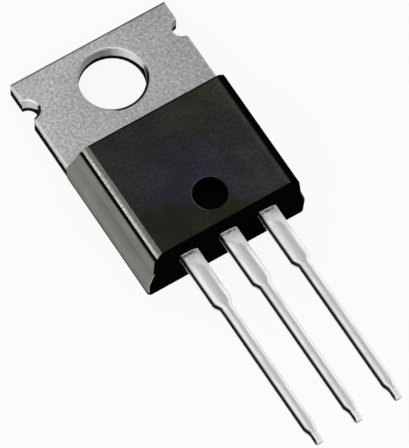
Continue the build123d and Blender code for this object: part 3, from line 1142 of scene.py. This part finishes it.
def body_sections():
    """(height, half width, tab-end y, lead-end y, lead-end corner radius) from the back up."""
    def side(height):
        return LEAD_LEVEL_HALF - lean(UPPER_DRAFT, height - LEAD_UNDERSIDE)

    def tab_end(height):
        return BODY_TOP_Y - lean(TAB_END_DRAFT, max(0.0, height - TAB_THICKNESS))

    def lead_end(height):
        return EXIT_Y + lean(LEAD_END_DRAFT, height - LEAD_UNDERSIDE)

    def lower_end(height):
        return BODY_END_Y + lean(LEAD_END_DRAFT, LEAD_UNDERSIDE - height)

    below_face = FRONT_FACE - EDGE_DROP
    return [
        (BACK, BODY_HALF - lean(BACK_DRAFT, TAB_THICKNESS - BACK), BODY_TOP_Y,
         lower_end(BACK), 0.22 * MM),
        (TAB_THICKNESS, BODY_HALF, BODY_TOP_Y, lower_end(TAB_THICKNESS), 0.24 * MM),
        (LEAD_UNDERSIDE, LEAD_LEVEL_HALF, tab_end(LEAD_UNDERSIDE), BODY_END_Y, 0.12 * MM),
        (LEAD_UNDERSIDE, LEAD_LEVEL_HALF - PARTING_STEP, tab_end(LEAD_UNDERSIDE) - PARTING_STEP,
         lead_end(LEAD_UNDERSIDE), 0.12 * MM),
        (below_face, side(below_face), tab_end(below_face), lead_end(below_face), 0.06 * MM),
        (FRONT_FACE, side(FRONT_FACE), tab_end(FRONT_FACE) - EDGE_SETBACK,
         lead_end(FRONT_FACE), 0.05 * MM)]


for z, half, top, end, _ in body_sections():
    print("z %.2f  half width %.3f  y %.3f to %.3f" % (z / MM, half / MM, end / MM, top / MM))

# %% [markdown]
# ## Stack, cut and break the edges
#
# The stack gives all four leaning walls in one go.  The ledges could be rings too, but
# rings would carry them round the two ends, where there are none, so a prism cuts each.
# The bevel comes after the cut, so that it breaks the new edges as well.

# %% Stack the sections, cut the ledges and break the edges
CORNER_POINTS = 5
TAB_CORNER = 0.05 * MM
EDGE_BREAK = 0.028 * MM
EDGE_BREAK_FROM = 25                # degrees between two faces
OVERHANG = 0.5 * MM


def rounded_section(height, half, top, end, radius):
    """Rectangle with four round corners, anticlockwise, at one height."""
    corners = (((half, end), (-1, 1), radius, -90), ((half, top), (-1, -1), TAB_CORNER, 0),
               ((-half, top), (1, -1), TAB_CORNER, 90), ((-half, end), (1, 1), radius, 180))
    outline = []
    for (x, y), (in_x, in_y), r, start in corners:
        outline += arc((x + in_x * r, y + in_y * r), r, start, start + 90, CORNER_POINTS)
    return raised(outline, height)


def moulded_block(name):
    mesh = bmesh.new()
    add_stack(mesh, [rounded_section(*section) for section in body_sections()])
    return new_piece(name, mesh, [END_EPOXY])


def ledge_cutter():
    """Two long prisms: what the block lacks above its ledges and outside its chamfers."""
    rise = OVERHANG / (FRONT_FACE - RISER_TOP)
    outside = BODY_HALF + OVERHANG
    section = [(outside, LEDGE_LEVEL), (RISER_HALF, LEDGE_LEVEL), (RISER_HALF, RISER_TOP),
               (FACE_HALF, FRONT_FACE),
               (FACE_HALF - (RISER_HALF - FACE_HALF) * rise, FRONT_FACE + OVERHANG),
               (outside, FRONT_FACE + OVERHANG)]
    mesh = bmesh.new()
    for side in (-1, 1):
        add_stack(mesh, [[Vector((side * x, y, z)) for x, z in section]
                         for y in (BODY_END_Y - OVERHANG, BODY_TOP_Y + OVERHANG)])
    return new_piece("ledge_cutter", mesh, [END_EPOXY])


def break_edges(piece):
    bevel = piece.modifiers.new("broken_edges", "BEVEL")
    bevel.width = EDGE_BREAK
    bevel.segments = 2
    bevel.limit_method = "ANGLE"
    bevel.angle_limit = math.radians(EDGE_BREAK_FROM)
    return bake_modifiers(piece)


body = moulded_block("moulded_body_epoxy")
report(body)
combine(body, ledge_cutter(), "DIFFERENCE", keep=False)
break_edges(body)
report(body)

# %% [markdown]
# ## The pin mark and the metal inside
#
# A pin pushes the warm part out of its mould and leaves a round pocket.  Its cutter is a
# stack of circles with a flared mouth, so the cut leaves a soft lip and needs no bevel.
# The finished tab and leads are cutters in their turn, which makes the block fit them
# exactly, however their edges are shaped.

# %% Sink the pin mark and fit the block round the metal
DIMPLE_DEPTH = 0.55 * MM
DIMPLE_LIP = 0.04 * MM
DIMPLE_DRAFT = 8                    # degrees
DIMPLE_POINTS = 72


def pin_mark_cutter():
    """Drafted plug with a flared mouth, standing a little out of the front face."""
    floor_radius = DIMPLE_RADIUS - lean(DIMPLE_DRAFT, DIMPLE_DEPTH)
    floor = FRONT_FACE - DIMPLE_DEPTH
    profile = [(floor_radius - DIMPLE_LIP, floor), (floor_radius, floor + DIMPLE_LIP),
               (DIMPLE_RADIUS - DIMPLE_LIP * 0.4, FRONT_FACE - DIMPLE_LIP),
               (DIMPLE_RADIUS, FRONT_FACE - DIMPLE_LIP * 0.4),
               (DIMPLE_RADIUS + DIMPLE_LIP, FRONT_FACE + DIMPLE_LIP * 0.6)]
    mesh = bmesh.new()
    add_stack(mesh, [raised(arc((0, DIMPLE_Y), radius, 0, 360, DIMPLE_POINTS)[:-1], height)
                     for radius, height in profile])
    return new_piece("pin_mark_cutter", mesh, [END_EPOXY])


combine(body, pin_mark_cutter(), "DIFFERENCE", keep=False)
for inner in (tab, input_lead, output_lead):
    combine(body, inner, "DIFFERENCE")

# %% [markdown]
# ## Which finish goes where on the block
#
# Each face is given its finish by the way it looks and by its height.  That holds
# however the bevel and the cuts have divided the faces, which a list of face numbers
# would not.  The tests run from the most special face to the plainest: what none of them
# picks, such as the ends, the ledges and the pin mark, is dull and black.  The right
# chamfer and the ledge on the right take that black finish as painted shade.

# %% Sort the faces of the block by finish
LEVEL_PLAY = 0.02 * MM
FLAT, UPRIGHT, SLANTED = 0.9, 0.85, 0.6     # how squarely a face looks along an axis
FINISHES = [FRONT_EPOXY, SIDE_EPOXY, CHAMFER_EPOXY, CORNER_EPOXY, END_EPOXY]


def finish_of(face):
    """The finish of a face of the block."""
    sideways, upward, height = abs(face.normal.x), face.normal.z, face.center.z
    outside_riser = abs(face.center.x) > RISER_HALF + LEVEL_PLAY
    along_side = abs(face.normal.y) < 0.3 and upward > -0.5 and outside_riser
    below_ledge_edge = height < LEDGE_LEVEL - EDGE_BREAK - LEVEL_PLAY
    if upward > FLAT and height > FRONT_FACE - LEVEL_PLAY:
        return FRONT_EPOXY
    # Only the left chamfer is pale: the right one falls through to the black finish, painted shade.
    if face.normal.x < -SLANTED and upward > 0.4 and height > RISER_TOP - LEVEL_PLAY:
        return CHAMFER_EPOXY
    # The ledge on the right stays black: painted shade.
    if height < LEDGE_LEVEL + LEVEL_PLAY and (
            sideways > UPRIGHT or along_side and (face.center.x < 0 or below_ledge_edge)):
        return SIDE_EPOXY
    # The lower corners get a painted highlight on the left.
    if sideways > SLANTED and face.normal.y < 0 and height < LEAD_UNDERSIDE:
        return CORNER_EPOXY
    if upward < -FLAT and height < BACK + LEVEL_PLAY:
        return FRONT_EPOXY
    return END_EPOXY


slots = [FINISHES.index(finish_of(face)) for face in body.data.polygons]
body.data.materials.clear()
for material in FINISHES:
    body.data.materials.append(material)
body.data.polygons.foreach_set("material_index", slots)
soften(body, 20)
print({material.name: slots.count(i) for i, material in enumerate(FINISHES)})

# %% [markdown]
# ## Finishes for the pieces inside
#
# The chip, its solder and the three wires are sealed in epoxy.  Their solids keep their
# shapes, and each still gets a real finish, so that a cut-away picture looks right:
# polished silicon, soft solder, and drawn aluminium.

# %% Silicon, solder and aluminium
def polished_silicon():
    finish = Finish("polished_silicon")
    haze = finish.noise(2.0, 3.0)
    return finish.surface(
        Base_Color=finish.mix(haze.ramp(0.3, 0.7), grey(0.16, -0.10), grey(0.22, -0.16)),
        Metallic=0.6,
        Roughness=haze.ramp(0.3, 0.7, 0.12, 0.22))


def soft_metal(name, colours, polish, depth, noise, stretch=(1.0, 1.0, 1.0)):
    """Metal with one pattern for its tone, its polish and its relief."""
    finish = Finish(name)
    pattern = finish.noise(*noise, place=finish.stretched(*stretch))
    return finish.surface(
        Base_Color=finish.mix(pattern, *colours),
        Metallic=1.0,
        Roughness=pattern.ramp(0.3, 0.7, *polish),
        Normal=finish.relief(pattern, depth))


silicon = polished_silicon()
solder = soft_metal("soft_solder", (grey(0.42, 0.01), grey(0.62)), polish=(0.30, 0.50),
                    depth=0.008 * MM, noise=(6.0, 4.0, 0.7))
aluminium = soft_metal("drawn_aluminium", (grey(0.74), grey(0.86, -0.01)), polish=(0.22, 0.36),
                       depth=0.002 * MM, noise=(1.0, 2.0, 0.6), stretch=(24.0, 3.0, 24.0))
for node, material in (("regulator_chip", silicon), ("chip_solder", solder),
                       ("input_wire", aluminium), ("output_wire", aluminium),
                       ("ground_wire", aluminium)):
    piece = frame["nodes"][node]
    piece.data.materials.clear()
    piece.data.materials.append(material)
    print(node, "gets", material.name)

# %% [markdown]
# ## Put the pieces on the part
#
# The part is one rigid body, so every piece rides on the root.  Each finished piece
# stands for the solid of the same real piece, which is hidden.

# %% Ride and replace
for piece, node, slot in (
        (tab, "tab_with_centre_lead", "nickelled_copper"),
        (input_lead, "input_lead", "tinned_copper"),
        (output_lead, "output_lead", "tinned_copper"),
        (body, "moulded_body", "moulding")):
    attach(piece, "root")
    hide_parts(node)
    print(piece.name, "stands for", node)

# %% [markdown]
# ## A plain white stage
#
# A catalogue picture of a component has a pure white ground.  More light would burn out
# the metal, so the floor is white by its own colour: rays from the camera and from
# glossy surfaces see it as plain white, and all other rays see an ordinary pale floor.
# A share of the ordinary floor is kept for the camera as well, so that the part still
# casts a soft shadow.

# %% Floor
FLOOR_GAP = 0.02 * MM
FLOOR_REACH = 4000 * MM
SHADOW_SHARE = 0.10


def white_ground():
    finish = Finish("white_ground")
    seen, mirrored, through = (finish.add("ShaderNodeLightPath", output="Is %s Ray" % kind)
                               for kind in ("Camera", "Glossy", "Transmission"))
    direct = seen * (1 - SHADOW_SHARE) + mirrored + through
    mottle = finish.noise(0.02, 2.0)
    plain = finish.add("ShaderNodeBsdfDiffuse", inputs={
        "Color": finish.mix(mottle, grey(0.82), grey(0.84)), "Roughness": 0.5})
    glow = finish.add("ShaderNodeEmission", inputs={"Color": grey(1.0), "Strength": 1.0})
    mixed = finish.add("ShaderNodeMixShader", inputs={0: direct, 1: plain, 2: glow})
    finish.add("ShaderNodeOutputMaterial", inputs={"Surface": mixed})
    return finish.material


def floor():
    mesh = bmesh.new()
    corners = [(-1, -1), (1, -1), (1, 1), (-1, 1)]
    mesh.faces.new([mesh.verts.new((x * FLOOR_REACH, y * FLOOR_REACH, -FLOOR_GAP))
                    for x, y in corners])
    piece = new_piece("floor", mesh, [white_ground()])
    return piece


print("floor at z %.2f mm" % (min(corner[2] for corner in floor().bound_box) / MM))

# %% [markdown]
# ## Light
#
# Metal shows what stands round it, and lamps alone would leave it black with a few
# bright spots.  So most of the light is a sky, toned like a white tent round the part:
# bright on the left and overhead, dimmer towards the right, bright again low on the
# right, and darker behind.  One broad lamp stands low on the left.  It runs along the
# chamfer and the left faces and leaves the right side dark, and painted light and shade
# on the moulding add to both.

# %% Lamp and world
RIGHT_DIMS = (0.18, 0.46)           # how far right or back a direction points
WALL_EDGE = (0.52, 0.72)
BACK_EDGE = (0.62, 0.85)


def soft_lamp(name, place, aim, size, power):
    """An area lamp at place that looks at aim; places and size are in millimetres."""
    data = bpy.data.lights.new(name, "AREA")
    data.shape = "RECTANGLE"
    data.size, data.size_y = size[0] * MM, size[1] * MM
    data.energy = power
    lamp = in_scene(name, data)
    lamp.location = Vector(place) * MM
    lamp.rotation_euler = (Vector(aim) * MM - lamp.location).to_track_quat("-Z", "Y").to_euler()


def studio_world(bright, dim, right_wall, back_wall):
    """The four tones are strengths, but back_wall is a share of what is in front."""
    world = bpy.data.worlds.new("studio_sky")
    world.use_nodes = True
    tree = Tree(world.node_tree)
    tree.node_tree.nodes.clear()
    direction = tree.add("ShaderNodeTexCoord", output="Generated")
    rightward, backward, _ = tree.parts(direction)
    strength = rightward.ramp(*RIGHT_DIMS, bright, dim)
    strength = strength + rightward.ramp(*WALL_EDGE, 0.0, right_wall - dim)
    background = tree.add("ShaderNodeBackground", inputs={
        "Color": grey(1.0), "Strength": strength * backward.ramp(*BACK_EDGE, 1.0, back_wall)})
    tree.add("ShaderNodeOutputWorld", inputs={"Surface": background})
    bpy.context.scene.world = world


soft_lamp("left_lamp", place=(-155, 55, 32), aim=(0, -8, 2), size=(70, 44), power=0.02)
studio_world(bright=0.98, dim=0.40, right_wall=0.98, back_wall=0.25)

# %% [markdown]
# ## Camera
#
# The camera looks down at the front of the part from the lead end and a little from the
# left.  A long lens from a good distance keeps the edges parallel, as in catalogue
# pictures.

# %% Camera
AZIMUTH = -32.17
ELEVATION = 63.0
ROLL = 0.40
DISTANCE = 448 * MM
VIEW_WIDTH = 22.60 * MM
AIM = Vector((-0.628, -10.799, 2.0)) * MM


def long_lens_camera():
    around, up = math.radians(AZIMUTH), math.radians(ELEVATION)
    look = Vector((-math.sin(around) * math.cos(up), math.cos(around) * math.cos(up),
                   -math.sin(up)))
    data = bpy.data.cameras.new("long_lens")
    data.sensor_fit = "HORIZONTAL"
    data.lens = data.sensor_width * DISTANCE / VIEW_WIDTH
    data.clip_start = 10 * MM
    data.clip_end = 20
    camera = in_scene("long_lens", data)
    camera.location = AIM - look * DISTANCE
    turn = look.to_track_quat("-Z", "Y").to_matrix().to_4x4()
    roll = Matrix.Rotation(math.radians(ROLL), 4, "Z")
    camera.rotation_euler = (turn @ roll).to_euler()
    bpy.context.scene.camera = camera
    return camera


camera = long_lens_camera()
bpy.context.scene.view_settings.view_transform = "Standard"
print("lens %.0f mm at %.2f m" % (camera.data.lens, DISTANCE))
